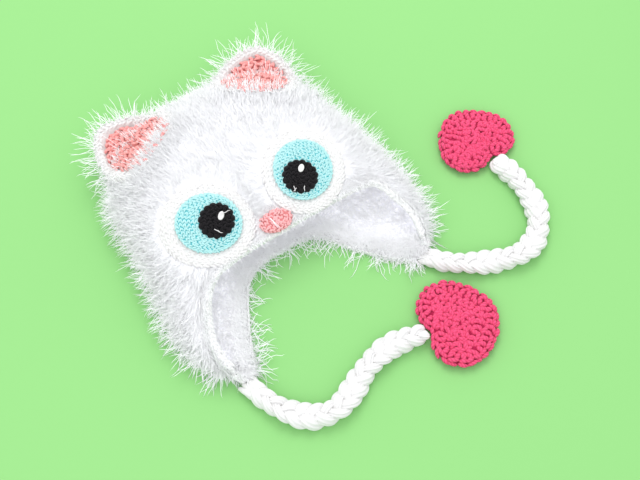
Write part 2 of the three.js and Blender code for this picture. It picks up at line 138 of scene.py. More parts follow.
# Layers of an eye: name, yarn, rounds, stitch size, thickness in millimetres, splay in degrees, and for the
# border its share, pitch and the length, width and thickness of its leaves in millimetres
IRIS_ROUNDS = (0.94, 0.82, 0.7, 0.58, 0.46, 0.34, 0.22, 0.1)
EYE_LAYERS = (
    ("patch", "white", (0.965, 0.865, 0.765, 0.665), "middle", 1.3, 22, None),
    ("iris", "blue", IRIS_ROUNDS, "fine", 1.9, 25, (0.955, 4.6, 5.6, 2.2, 1.8)),
    ("pupil", "black", (0.7, 0.42, 0.15), "fine", 2, 32, (0.95, 5.9, 6.6, 5, 2.4)),
)
# Rounds of a heart: share, splay in degrees and lift in millimetres. Long stitches: share and length
HEART_ROUNDS = ((0.92, 9, 0.8), (0.53, 30, 0), (0.2, 30, 0))
HEART_FANS = ((0.73, 9.5), (0.35, 10.5))

# Middle of each plaited tie on the table, from the flap's tip to its heart, in millimetres
TIE_ROUTES = {
    "left": (
        *((-98, -145), (-93.5, -162), (-82.5, -182.5), (-69.5, -196.5), (-51, -202.5)),
        *((-31, -197.5), (-7, -187), (17, -182.5), (36, -185.5), (53.3, -189.2)),
    ),
    "right": (
        *((97, -131), (106, -144), (126, -159), (148, -171), (169.5, -176.5)),
        *((188.5, -172.5), (202.5, -160.5), (212.5, -140), (215, -114.5), (211.4, -86.4)),
    ),
}
TIE_HEIGHT = 6.8 * MM
# Yarns drawn through a flap's tip: how far aside and how high, in millimetres
GATHERED = np.array(((-5.4, 6.6), (-1.9, 8), (1.9, 8), (5.4, 6.6)))

# Where the random draws of each group begin
SEEDS = {"ties": 20, "hearts": 30, "crown": 40, "edging": 50, "ears": 60, "eyes": 70, "nose": 80}
# Yarns: name of the material, the slot it fills, and what sets a worked yarn apart. The inner side glows:
# painted light that stands for the light which comes through its open stitches.
YARNS = {
    "white": ("worked_white", "white_yarn", {}),
    "edge": ("worked_edge", "white_yarn", {}),
    "inside": ("worked_inside", "white_yarn", {"specks": (0.5, 0.5, 0.56, 1), "glow": 0.35}),
    "pink": ("worked_pink", "pink_yarn", {}),
    "nose": ("worked_nose", "pink_yarn", {}),
    "blue": ("worked_blue", "blue_yarn", {}),
    "black": ("worked_black", "black_yarn", {"sheen": 0.08}),
    "rose": ("worked_rose", "rose_yarn", {"ply_shade": 0.45, "sheen": 0.1}),
    "shag": ("eyelash_white", "white_shag", None),
}


# Settings


def size(name, description, default):
    return bpy.props.FloatProperty(
        name=name, description=description, default=default, min=0, precision=4, unit="LENGTH"
    )


def colour(name, description, default):
    return bpy.props.FloatVectorProperty(
        name=name, description=description, default=default, size=3, min=0, max=1, subtype="COLOR"
    )


def number(name, description, default):
    return bpy.props.IntProperty(name=name, description=description, default=default, min=0)


def direction(name, description, degrees):
    return bpy.props.FloatProperty(
        name=name, description=description, default=math.radians(degrees), subtype="ANGLE"
    )


class YarnColours(bpy.types.PropertyGroup):
    # Each colour of the gaps is painted shade: the yarn takes it deep between its stitches and on the bare
    # pieces under them.
    white: colour("White", "Worsted yarn of the patches, ears and ties", (0.74, 0.735, 0.725))
    white_gap: colour("White gaps", "Between the white stitches", (0.7, 0.69, 0.68))
    # The edging's two colours are lighter than the white yarn's: painted light that lifts the shade on the
    # edging.
    edge: colour("Edge", "Brushed white yarn of the edging", (0.79, 0.79, 0.79))
    edge_gap: colour("Edge gaps", "Between the stitches of the edging", (0.75, 0.75, 0.75))
    inside: colour("Inside", "Stitches of the inner side", (0.69, 0.69, 0.72))
    inside_gap: colour("Inside gaps", "Between the stitches of the inner side", (0.6, 0.6, 0.66))
    shag: colour("Shag", "Eyelash yarn of the coat", (0.955, 0.955, 0.962))
    # Darker, cooler colour at the roots: painted shade among the strands.
    shag_root: colour("Shag roots", "Coat close to its backing", (0.93, 0.93, 0.945))
    pink: colour("Pink", "Ear linings", (0.85, 0.39, 0.37))
    pink_gap: colour("Pink gaps", "Between the stitches of the linings", (0.44, 0.11, 0.1))
    nose: colour("Nose", "Lighter pink of the nose", (0.87, 0.49, 0.5))
    nose_gap: colour("Nose gaps", "Between the stitches of the nose", (0.6, 0.2, 0.2))
    blue: colour("Blue", "Irises", (0.5, 0.77, 0.76))
    blue_gap: colour("Blue gaps", "Between the stitches of the irises", (0.05, 0.41, 0.46))
    black: colour("Black", "Pupils", (0.011, 0.009, 0.011))
    black_gap: colour("Black gaps", "Between the stitches of the pupils", (0.002, 0.002, 0.003))
    rose: colour("Rose", "Hearts", (0.82, 0.092, 0.212))
    rose_gap: colour("Rose gaps", "Between the stitches of the hearts", (0.36, 0.012, 0.06))


class StitchSizes(bpy.types.PropertyGroup):
    fine: size("Fine", "Pitch of the stitches in eyes and nose", 3.5 * MM)
    middle: size("Middle", "Pitch of the stitches in patches and the inner side", 4.8 * MM)
    chunky: size("Chunky", "Pitch of the stitches in ear linings, edging and hearts", 5.6 * MM)
    ply: size("Ply", "Length of yarn that its plies take for one turn", 3.2 * MM)


class CoatSizes(bpy.types.PropertyGroup):
    strands: number("Strands", "Strands of the nap that lies on the face", 28000)
    nap: size("Nap", "Length of those strands", 12 * MM)
    tufts: number("Tufts", "Tufts of eyelash yarn that stand out along the folds", 1180)
    lashes: number("Lashes", "Strands in one tuft", 4)
    long: size("Long", "Length of the strands of a tuft", 24 * MM)
    radius: size("Radius", "Radius of a strand", 0.27 * MM)
    seed: number("Seed", "Of the coat's random draws", 7)


class PlaitSizes(bpy.types.PropertyGroup):
    period: size("Period", "Length of tie in which a strand comes back to the same side", 35 * MM)
    strand_width: size("Strand width", "Width of one strand", 11.4 * MM)
    strand_thick: size("Strand thickness", "Thickness of one strand", 8.2 * MM)
    swing: size("Swing", "How far a strand swings to each side", 5.6 * MM)
    hop: size("Hop", "How far a strand rises over the others", 2.5 * MM)


class StageSettings(bpy.types.PropertyGroup):
    floor: colour("Floor", "Colour of the plain table", (0.253, 0.552, 0.19))
    distance: size("Distance", "From the camera to the middle of the view", 0.85)
    elevation: direction("Elevation", "Of the camera above the table", 63)
    heading: direction("Heading", "Direction that the camera looks in, from +Y towards +X", 34)
    lens: bpy.props.FloatProperty(
        name="Lens", description="Focal length in millimetres", default=52.6, min=1
    )
    key: bpy.props.FloatProperty(
        name="Key light", description="Power of the large soft light", default=12, min=0, unit="POWER"
    )


# Curves and surfaces


def hermite(at, places, values):
    """Smooth values at places along a table of rows, with slopes from each row's neighbours."""
    values = np.asarray(values, float)
    slopes = np.gradient(values, places, axis=0)
    i = np.clip(np.searchsorted(places, at, side="right") - 1, 0, len(places) - 2)
    span = places[i + 1] - places[i]
    u = (at - places[i]) / span
    if values.ndim > 1:
        u, span = u[:, None], span[:, None]
    rise = values[i] * (1 + 2 * u) * (1 - u) ** 2 + values[i + 1] * u * u * (3 - 2 * u)
    return rise + span * (slopes[i] * u * (1 - u) ** 2 + slopes[i + 1] * u * u * (u - 1))


def rim_y(turn):
    turn = (np.asarray(turn, float) - RIM[0, 0]) % 360 + RIM[0, 0]
    places = np.concatenate([RIM[:, 0] + shift for shift in (-360, 0, 360)])
    return MM * hermite(turn, places, np.tile(RIM[:, 1], 3))


def rounded(share, power):
    return (1 - np.minimum(1, np.abs(share)) ** power) ** (1 / power)


def hat_point(turn, y, inset):
    """Point that lies inset inside the fabric's outer face, at a turn round the section at y."""
    left, right, fold, top = (np.interp(y, SECTIONS[:, 0], SECTIONS[:, k]) for k in (1, 2, 3, 4))
    closing = np.clip((y - SHOULDER) / (CROWN_TOP - inset - SHOULDER), 0, 1)
    across = np.cos(np.radians(turn))
    half = ((right - left) / 2 - inset) * rounded(closing, PLAN_ROUND)
    arch = (top - fold - inset) * np.sqrt(1 - closing**ARCH_ROUND)
    rise = arch * np.sqrt(1 - np.abs(across) ** ARCH_ROUND)
    belly = np.minimum(1, FLATTEN * rounded(across, BELLY_ROUND))
    drop = (fold - inset) * rounded(closing, BELLY_ROUND) * belly
    front = np.sin(np.radians(turn)) >= 0
    z = np.where(front, fold + rise, np.maximum(inset, fold - drop))
    return np.stack([(left + right) / 2 + half * across, y, z], axis=-1)


def fabric_point(turn, share, inset):
    """The same, at a share of the way from the crown's far edge to the edge of the fabric."""
    hem = rim_y(turn)
    bow = np.cos(math.pi / 2 * np.minimum(1, share / CAP_SHARE))
    cap = SHOULDER + (CROWN_TOP - inset - SHOULDER) * bow
    skirt = SHOULDER + (hem - SHOULDER) * (share - CAP_SHARE) / (1 - CAP_SHARE)
    return hat_point(turn, np.where(share < CAP_SHARE, cap, skirt), inset)


def unit(v):
    return v / np.maximum(np.linalg.norm(v, axis=-1, keepdims=True), 1e-9)


def square_to(way, axis):
    """Unit directions as near to way as can be that are square to axis."""
    return unit(way - axis * np.sum(way * axis, axis=1, keepdims=True))


def circle(angle):
    """Directions in plan at angles."""
    return np.stack([np.cos(angle), np.sin(angle)], axis=-1)


def level(plan, height=0):
    """Points in plan, or directions, at a height."""
    return np.pad(plan, ((0, 0), (0, 1)), constant_values=height)


def fabric_frame(turn, share, inset):
    """Point, direction round, direction towards the edge, outward normal and area for each place."""
    step_turn, step_share = 0.5, 0.004
    around = fabric_point(turn + step_turn, share, inset) - fabric_point(turn - step_turn, share, inset)
    down = fabric_point(turn, share + step_share, inset) - fabric_point(turn, share - step_share, inset)
    normal = np.cross(around, down)
    area = np.linalg.norm(normal, axis=-1)
    return fabric_point(turn, share, inset), unit(around), unit(down), unit(normal), area


def walk(points):
    """How far along a line of points each of them is."""
    return np.concatenate([[0], np.cumsum(np.linalg.norm(np.diff(points, axis=0), axis=1))])


def along_curve(points, count, closed=False):
    """Evenly spaced places on a line through points, and its directions there."""
    points = np.asarray(points, float)
    if closed:
        points = np.vstack([points, points[:1]])
    walked = walk(points)
    at = np.linspace(0, walked[-1], count, endpoint=not closed)
    place = np.stack([np.interp(at, walked, column) for column in points.T], axis=1)
    step = walked[-1] / 400
    ahead, behind = np.clip(at + step, 0, walked[-1]), np.clip(at - step, 0, walked[-1])
    way = [np.interp(ahead, walked, column) - np.interp(behind, walked, column) for column in points.T]
    return place, unit(np.stack(way, axis=1))


def draws(group, side=SIDES[0]):
    return np.random.default_rng(SEEDS[group] + SIDES.index(side))


def drawn(chance, wanted, rng, allowed=True):
    """Which of the places that are allowed are kept by their chance, up to the number wanted."""
    return np.nonzero((rng.random(len(chance)) < chance) & allowed)[0][:wanted]


# Mesh parts: each is its points, its triangles, and each point's yarn: turns of its ply, tone, and depth,
# which a worked yarn's material turns into painted shade


def part_of(bm):
    """Points and triangles of a bmesh, which is freed."""
    bmesh.ops.triangulate(bm, faces=bm.faces[:])
    bm.verts.ensure_lookup_table()
    points = np.array([v.co for v in bm.verts], float)
    triangles = np.array([[v.index for v in f.verts] for f in bm.faces], int)
    bm.free()
    return points, triangles


def grid_part(columns, rows):
    """Points and triangles of a flat grid, one wide and one high, round the origin."""
    bm = bmesh.new()
    bmesh.ops.create_grid(bm, x_segments=columns, y_segments=rows, size=0.5)
    return part_of(bm)


def stitch_template():
    """A short leaf of yarn, one long, wide and thick, along X."""
    bm = bmesh.new()
    turned = Matrix.Rotation(math.pi / 2, 4, "Y")
    bmesh.ops.create_uvsphere(bm, u_segments=8, v_segments=6, radius=0.5, matrix=turned)
    points, triangles = part_of(bm)
    # The order that Blender leaves them in can change from run to run.
    return points, triangles[np.lexsort(triangles.T)]


def strand_template(cuts):
    """A three-sided strand of radius one that runs from 0 to a tip at 1, in Z, with cuts where it bends."""
    bm = bmesh.new()
    middle = Matrix.Translation((0, 0, 0.5))
    bmesh.ops.create_cone(bm, cap_ends=False, segments=3, radius1=1, radius2=0, depth=1, matrix=middle)
    for cut in range(1, cuts + 1):
        geometry = bm.verts[:] + bm.edges[:] + bm.faces[:]
        bmesh.ops.bisect_plane(bm, geom=geometry, plane_co=(0, 0, cut / (cuts + 0.6)), plane_no=(0, 0, 1))
    return part_of(bm)


def copies_of(co, triangles, yarn):
    """One part from copies of a template: points and yarn have a row for each copy."""
    count, per_copy = co.shape[:2]
    triangles = triangles[None] + per_copy * np.arange(count)[:, None, None]
    return co.reshape(-1, 3), triangles.reshape(-1, 3), yarn.reshape(-1, 3)


def leaves(points, along, up, length, width, thick, rng):
    """Copies of the stitch template at points, lengthwise along and with their backs up."""
    arched, slant = 1.8, 1.1
    base, triangles = stitch_template()
    count = len(points)
    up = square_to(up, along)
    side = np.cross(up, along)
    length, width, thick = (np.broadcast_to(v, count)[:, None, None] for v in (length, width, thick))
    x, y, z = (base[None, :, k, None] for k in range(3))
    # The leaf arches: its ends dip under its neighbours.
    dip = arched * thick * x**2
    co = points[:, None] + x * length * along[:, None] + y * width * side[:, None]
    co = co + (z * thick - dip) * up[:, None]
    ply = bpy.context.scene.hat_stitches.ply
    turns = (x * length / ply)[..., 0] + slant * y[..., 0]
    tone = np.broadcast_to(rng.random(count)[:, None], turns.shape)
    # Lower on a leaf counts as deeper, and the material paints deeper points in shade.
    depth = np.broadcast_to(base[None, :, 2] + 0.5, turns.shape)
    return copies_of(co, triangles, np.stack([turns, tone, depth], axis=-1))


def vees(points, along, up, pitch, row, thick, rng, splay=32, uneven=0.1):
    """Crochet stitches seen from above: two leaves each, which meet in a V that points along the round."""
    apart, width, length, lift = 0.24 * row, 0.56 * row, 1.22, 0.1
    turned, shifted, stretched = 1.4 * uneven, 0.7 * uneven * pitch, 1.2 * uneven
    up = square_to(up, along)
    side = np.cross(up, along)
    count = (len(points), 1)
    made = []
    for sign in (-1, 1):
        a = np.radians(splay) + turned * rng.normal(0, 1, count)
        way = np.cos(a) * along + sign * np.sin(a) * side
        middle = points + sign * apart * side + up * thick * (lift + uneven * rng.normal(0, 1, count))
        middle = middle + shifted * rng.normal(0, 1, count) * along
        lengths = pitch * (length + stretched * rng.normal(0, 1, len(points)))
        made.append(leaves(middle, way, up, lengths, width, thick, rng))
    return joined(made)


def joined(parts):
    """One part from several."""
    points, triangles, yarn = zip(*parts)
    starts = np.cumsum([0] + [len(p) for p in points[:-1]])
    triangles = [t + start for t, start in zip(triangles, starts)]
    return np.concatenate(points), np.concatenate(triangles), np.concatenate(yarn)


def strands(roots, ways, lengths, radius, bend, curl, rng, cuts=2):
    """Strands from roots. Bend is added to a strand's way towards its tip, and curl is its waves' height."""
    shortest, tapered, steep = 0.1, 0.5, 0.8
    # A strand that would leave the room it has is shortened.
    reach = np.broadcast_to(lengths, len(roots))[:, None] * (ways + bend)
    reach = np.where(np.abs(reach) < 1e-9, 1e-9, reach)
    room = np.where(reach > 0, LIMITS[1], LIMITS[0]) - roots
    lengths = (lengths * np.clip(room / reach, shortest, 1).min(axis=1))[:, None, None]
    base, triangles = strand_template(cuts)
    count = len(roots)
    t = base[:, 2]
    section = base[:, :2] / np.maximum(1 - t, 1e-6)[:, None]
    section[t > 0.999] = 0
    thin = (1 - tapered * t**4)[None, :, None]
    helper = np.where(np.abs(ways[:, 2:]) < steep, UP, (1.0, 0.0, 0.0))
    a = unit(np.cross(ways, helper))
    b = np.cross(ways, a)
    phase = rng.uniform(0, 2 * math.pi, (count, 1))
    waves = rng.uniform(0.6, 1.5, (count, 1))
    wave = curl * t[None] * np.sin(phase + 2 * math.pi * waves * t[None])
    lean = t[None, :, None] * ways[:, None] + (t**2)[None, :, None] * bend[:, None]
    co = roots[:, None] + lengths * (lean + wave[..., None] * a[:, None])
    co[..., 2] = np.maximum(co[..., 2], ON_TABLE + radius)
    co = co + radius * thin * (section[None, :, :1] * a[:, None] + section[None, :, 1:] * b[:, None])
    tone = np.broadcast_to(rng.random(count)[:, None], (count, len(base)))
    yarn = np.stack([np.broadcast_to(t, tone.shape), tone, np.zeros_like(tone)], axis=-1)
    return copies_of(co, triangles, yarn)


def tufts(roots, ways, length, lashes, spread, radius, rng, droop=0.15, curl=0.06, cuts=4):
    """Fans of strands, each from one root, which cross their neighbours."""
    shortest, longest, wobble, scatter = 0.45, 1.1, 0.14, 0.7 * MM
    count = len(roots) * lashes
    pick = np.repeat(np.arange(len(roots)), lashes)
    way = unit(ways[pick] + spread * rng.normal(0, 1, (count, 3)))
    lengths = np.broadcast_to(length, len(roots))[pick] * rng.uniform(shortest, longest, count)
    bend = wobble * rng.normal(0, 1, (count, 3)) - droop * UP
    root = roots[pick] + scatter * rng.normal(0, 1, (count, 3))
    return strands(root, way, lengths, radius, bend, curl, rng, cuts=cuts)


def mesh_from(bm, name):
    """A mesh from a bmesh, which is freed."""
    mesh = bpy.data.meshes.new(name)
    bm.to_mesh(mesh)
    bm.free()
    return mesh


def add_object(name, data):
    obj = bpy.data.objects.new(name, data)
    bpy.context.scene.collection.objects.link(obj)
    return obj


def soft_copy(node, levels=2):
    """A CAD node's mesh as a part: merged, made of quads again where it can be, and subdivided smooth."""
    bm = bmesh.new()
    bm.from_mesh(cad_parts[node].data)
    bmesh.ops.remove_doubles(bm, verts=bm.verts[:], dist=0.01 * MM)
    bmesh.ops.join_triangles(bm, faces=bm.faces[:], angle_face_threshold=0.9, angle_shape_threshold=1.2)
    bmesh.ops.recalc_face_normals(bm, faces=bm.faces[:])
    mesh = mesh_from(bm, node)
    obj = add_object(node, mesh)
    smooth = obj.modifiers.new("soften", "SUBSURF")
    smooth.levels = smooth.render_levels = levels
    graph = bpy.context.evaluated_depsgraph_get()
    bm = bmesh.new()
    bm.from_mesh(obj.evaluated_get(graph).data)
    bpy.data.objects.remove(obj)
    bpy.data.meshes.remove(mesh)
    points, triangles = part_of(bm)
    # All its yarn is nought, so its material shows it in its deepest colour, which is painted shade.
    return points, triangles, np.zeros((len(points), 3))


def tree_of(part):
    return BVHTree.FromPolygons(part[0].tolist(), part[1].tolist())


def make_piece(name, parts, yarn_kind, *nodes):
    """One object of the joined parts in a yarn, which rides on the hat and stands for nodes."""
    points, triangles, yarn = joined(parts)
    points[:, 2] = np.maximum(points[:, 2], ON_TABLE)
    mesh = bpy.data.meshes.new(name)
    mesh.vertices.add(len(points))
    mesh.vertices.foreach_set("co", points.astype(np.float32).ravel())
    mesh.loops.add(3 * len(triangles))
    mesh.loops.foreach_set("vertex_index", triangles.astype(np.int32).ravel())
    mesh.polygons.add(len(triangles))
    mesh.polygons.foreach_set("loop_start", np.arange(0, 3 * len(triangles), 3, dtype=np.int32))
    mesh.polygons.foreach_set("use_smooth", np.ones(len(triangles), bool))
    mesh.update(calc_edges=True)
    values = mesh.attributes.new("yarn", "FLOAT_VECTOR", "POINT")
    values.data.foreach_set("vector", yarn.astype(np.float32).ravel())
    mesh.materials.append(material_of(yarn_kind))
    obj = add_object(name, mesh)
    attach(obj, "root")
    if nodes:
        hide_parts(*nodes)
    return obj


# Where stitches sit


def ear_frame(side):
    """Middle of an ear's rings in plan, and the directions across it and away from the crown."""
    x, y, lean = EARS[side]
    away = circle(math.radians(90 + lean))
    return MM * np.array((x, y)) + EAR_MIDDLE * away, np.array((away[1], -away[0])), away


def fabric_layer(turns, inset, rows, columns, flip=False):
    """A sheet of the hat's fabric between two turns. One that lies on the fabric closes down onto its hem."""
    points, triangles = grid_part(columns, rows)
    turn = turns[0] + (turns[1] - turns[0]) * (points[:, 0] + 0.5)
    share = points[:, 1] + 0.5
    inset = inset * np.clip((1 - share) / HEM_SHARE, 0, 1) ** 0.5 if inset < 0 else inset
    points = fabric_point(turn, share, inset)
    # All its yarn is nought, so it shows in its material's deepest colour, which is painted shade.
    return points, triangles[:, ::-1] if flip else triangles, np.zeros((len(points), 3))


def reach_of(node, middle=None):
    """Middle of a node's outline in plan, and its reach by angle."""
    plan = np.array([v.co[:2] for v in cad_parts[node].data.vertices], float)
    middle = (plan.min(0) + plan.max(0)) / 2 if middle is None else np.asarray(middle)
    off = plan - middle
    angle = np.arctan2(off[:, 1], off[:, 0])
    far = np.hypot(off[:, 0], off[:, 1])
    order = np.argsort(angle)
    angle, far = angle[order], far[order]
    # Only the farthest point in each small window belongs to the outline.
    window, farther = math.radians(4), 0.2 * far.max()
    apart = np.abs((angle[:, None] - angle[None] + math.pi) % (2 * math.pi) - math.pi)
    keep = far >= np.where(apart < window, far[None], farther).max(1) - 1e-6
    return middle, lambda a: np.interp(a, angle[keep], far[keep], period=2 * math.pi)


def ring_of(middle, reach, share=1):
    """A closed line in plan at a share of the reach."""
    a = np.linspace(0, 2 * math.pi, 361)[:-1]
    return middle + (share * reach(a))[:, None] * circle(a)


def dropped(plan, tree):
    """Places on a part's top under points in plan, the normals there, and which points hit it."""
    over = 0.2
    places, normals, hit = [], [], []
    for x, y in plan:
        place, normal, _, _ = tree.ray_cast(Vector((x, y, over)), Vector((0, 0, -1)))
        hit.append(place is not None)
        if place is not None:
            places.append(place)
            normals.append(normal if normal.z > 0 else -normal)
    return np.array(places), np.array(normals), np.array(hit)


def bare_spots(middle, reach, taken, pitch):
    """Places in plan inside an outline, but for its border, that are about a pitch from those taken."""
    border, clear, steps = 0.9, 0.85, 15
    step = np.arange(-steps, steps + 1) * pitch
    plan = middle + np.stack(np.meshgrid(step, step), axis=-1).reshape(-1, 2)
    off = plan - middle
    inside = np.hypot(off[:, 0], off[:, 1]) < border * reach(np.arctan2(off[:, 1], off[:, 0]))
    apart = np.linalg.norm(plan[:, None] - taken[None, :, :2], axis=2).min(axis=1)
    return plan[inside & (apart > clear * pitch)]


def round_seats(node, tree, shares, pitch, middle=None):
    """Seats of stitches in rounds at shares of a node's outline, on top of a part."""
    middle, reach = reach_of(node, middle)
    points, along, up = [], [], []
    for k, share in enumerate(shares):
        # Each round starts a little farther on.
        ring = np.roll(ring_of(middle, reach, share), int(180 * k / 7), axis=0)
        around = walk(np.vstack([ring, ring[:1]]))[-1]
        plan, way = along_curve(ring, max(3, round(around / pitch)), closed=True)
        place, normal, hit = dropped(plan, tree)
        if len(place) == 0:
            continue
        points.append(place)
        along.append(square_to(level(way[hit]), normal))
        up.append(normal)
    return np.concatenate(points), np.concatenate(along), np.concatenate(up)


def worked(node, rounds, pitch, row, thick, rng, middle=None, long=1, **manner):
    """A node's soft copy with rounds of stitches on it, and the copy's tree."""
    pad = soft_copy(node)
    tree = tree_of(pad)
    seats = round_seats(node, tree, rounds, pitch, middle)
    return [pad, vees(*seats, long * pitch, row, thick, rng, **manner)], tree


# Materials


def connect(tree, node, inputs):
    """Links inputs of a node, given by name or number, to sockets, or sets them to values."""
    for name, value in inputs.items():
        if isinstance(value, bpy.types.NodeSocket):
            tree.links.new(value, node.inputs[name])
        else:
            node.inputs[name].default_value = value


def add_node(tree, kind, inputs, **settings):
    """The outputs of a new shader node."""
    node = tree.nodes.new(f"ShaderNode{kind}")
    for name, value in settings.items():
        setattr(node, name, value)
    connect(tree, node, inputs)
    return node.outputs


def math_node(tree, operation, *inputs):
    return add_node(tree, "Math", dict(enumerate(inputs)), operation=operation)[0]


def mix_colour(tree, factor, a, b, blend="MIX"):
    return add_node(tree, "Mix", {0: factor, 6: a, 7: b}, data_type="RGBA", blend_type=blend)[2]


def noise(tree, scale, detail=2):
    where = add_node(tree, "TexCoord", {})["Object"]
    return add_node(tree, "TexNoise", {"Vector": where, "Scale": scale, "Detail": detail})["Fac"]


def ramp(tree, value, low, high, shape="LINEAR"):
    """Rises from 0 to 1 while value goes from low to high."""
    ends = {"Value": value, "From Min": low, "From Max": high}
    return add_node(tree, "MapRange", ends, interpolation_type=shape)["Result"]


def yarn_values(tree):
    """Turns, tone and depth of the yarn."""
    attribute = add_node(tree, "Attribute", {}, attribute_name="yarn")["Vector"]
    return add_node(tree, "SeparateXYZ", {0: attribute})


def opaque(tint, shade=1):
    return (*(shade * c for c in tint), 1)


def new_material(name):
    material = bpy.data.materials.new(name)
    material.use_nodes = True
    return material, material.node_tree, material.node_tree.nodes["Principled BSDF"]


def yarn_material(name, light, gap_shade, ply_shade=0.3, sheen=0.2, glow=0, specks=None):
    """Plied yarn: painted shade in the colour of the gaps, deep between the stitches, the yarn's lighter
    colour on their backs, painted shade in the grooves between its plies, and fuzz.
    """
    fuzz, relief = 0.12, 0.35 * MM
    material, tree, shader = new_material(name)
    turns, tone, depth = yarn_values(tree)
    wave = math_node(tree, "SINE", math_node(tree, "MULTIPLY", turns, 2 * math.pi))
    ply = math_node(tree, "MULTIPLY_ADD", wave, 0.5, 0.5)
    # Painted shade: the deeper a point of the yarn lies, the more it takes the colour of the gaps.
    lit = mix_colour(tree, ramp(tree, depth, 0.15, 0.72, "SMOOTHSTEP"), opaque(gap_shade), opaque(light))
    # Painted shade in the grooves between the plies.
    groove = math_node(tree, "MULTIPLY", math_node(tree, "SUBTRACT", 1, ply), ply_shade)
    grooved = mix_colour(tree, groove, lit, opaque(gap_shade))
    tone = math_node(tree, "ADD", math_node(tree, "MULTIPLY", tone, 0.6), noise(tree, 60))
    worn = math_node(tree, "MULTIPLY", tone, fuzz)
    toned = mix_colour(tree, worn, grooved, opaque(light, 0.86), "MULTIPLY")
    if specks:
        toned = mix_colour(tree, ramp(tree, noise(tree, 260), 0.68, 0.74), toned, specks)
    height = math_node(tree, "ADD", ply, math_node(tree, "MULTIPLY", noise(tree, 1400, 3), 0.9))
    bump = add_node(tree, "Bump", {"Strength": 0.5, "Distance": relief, "Height": height})["Normal"]
    look = {"Base Color": toned, "Normal": bump, "Roughness": 0.85, "Specular IOR Level": 0.15}
    # Glow is painted light: a piece with it gives off light, though it is no lamp.
    look |= {"Emission Strength": glow, "Sheen Weight": sheen, "Sheen Roughness": 0.5}
    connect(tree, shader, look)
    return material


def strand_material(name, root, tip):
    """Eyelash yarn: fine bright strands, darker and a little cooler at the root in painted shade, with a soft
    shine.
    """
    material, tree, shader = new_material(name)
    turns, tone, _ = yarn_values(tree)
    blend = math_node(tree, "ADD", turns, math_node(tree, "MULTIPLY", tone, 0.5))
    tint = mix_colour(tree, ramp(tree, blend, 0, 0.7), opaque(root), opaque(tip))
    connect(tree, shader, {"Base Color": tint, "Roughness": 0.5, "Sheen Weight": 0.3})
    return material


def floor_material(name, tint):
    material, tree, shader = new_material(name)
    shaded = mix_colour(tree, noise(tree, 3), opaque(tint), opaque(tint, 0.97))
    connect(tree, shader, {"Base Color": shaded, "Roughness": 0.9, "Specular IOR Level": 0.1})
    return material


def material_of(yarn_kind):
    """The material of a yarn, made once."""
    name, _, settings = YARNS[yarn_kind]
    found = bpy.data.materials.get(name)
    if found:
        return found
    colours = bpy.context.scene.hat_colours
    if settings is None:
        return strand_material(name, colours.shag_root, colours.shag)
    # The colour of the gaps is painted shade.
    light, gap_shade = getattr(colours, yarn_kind), getattr(colours, f"{yarn_kind}_gap")
    return yarn_material(name, light, gap_shade, **settings)


# Pieces


class HAT_OT_set_stage(bpy.types.Operator):
    """Lays the plain table, sets the soft lights and points the camera"""

    bl_idname = "hat.set_stage"
    bl_label = "Set the stage"

    def execute(self, context):
        s = context.scene.hat_stage
        bm = bmesh.new()
        bmesh.ops.create_grid(bm, x_segments=1, y_segments=1, size=3)
        mesh = mesh_from(bm, "table")
        mesh.materials.append(floor_material("table", s.floor))
        table = add_object("table", mesh)
        aim = Vector((29 * MM, -62 * MM, 0))
        flat = math.cos(s.elevation)
        back = Vector((-math.sin(s.heading) * flat, -math.cos(s.heading) * flat, math.sin(s.elevation)))
        lens = bpy.data.cameras.new("camera")
        lens.lens = s.lens
        lens.sensor_width = 36
        camera = add_object("camera", lens)
        camera.location = aim + back * s.distance
        camera.rotation_mode = "QUATERNION"
        camera.rotation_quaternion = (-back).to_track_quat("-Z", "Y")
        context.scene.camera = camera
        key, fill = (0.5, 0.75, 1.5), (-0.9, -0.7, 1.3)
        for name, place, width, share in (("key", key, 1.1, 1), ("fill", fill, 1.4, 0.45)):
            light = bpy.data.lights.new(name, "AREA")
            light.shape = "DISK"
            light.size = width
            light.energy = s.key * share
            lamp = add_object(name, light)
            lamp.location = place
            lamp.rotation_euler = (aim - Vector(place)).to_track_quat("-Z", "Y").to_euler()
        world = bpy.data.worlds.new("studio")
        world.use_nodes = True
        sky = {"Color": (0.96, 0.97, 1, 1), "Strength": 1.22}
        connect(world.node_tree, world.node_tree.nodes["Background"], sky)
        context.scene.world = world
        context.scene.view_settings.view_transform = "Standard"
        context.scene.cycles.max_bounces = 12
        context.scene.cycles.diffuse_bounces = 9
        return {"FINISHED"}


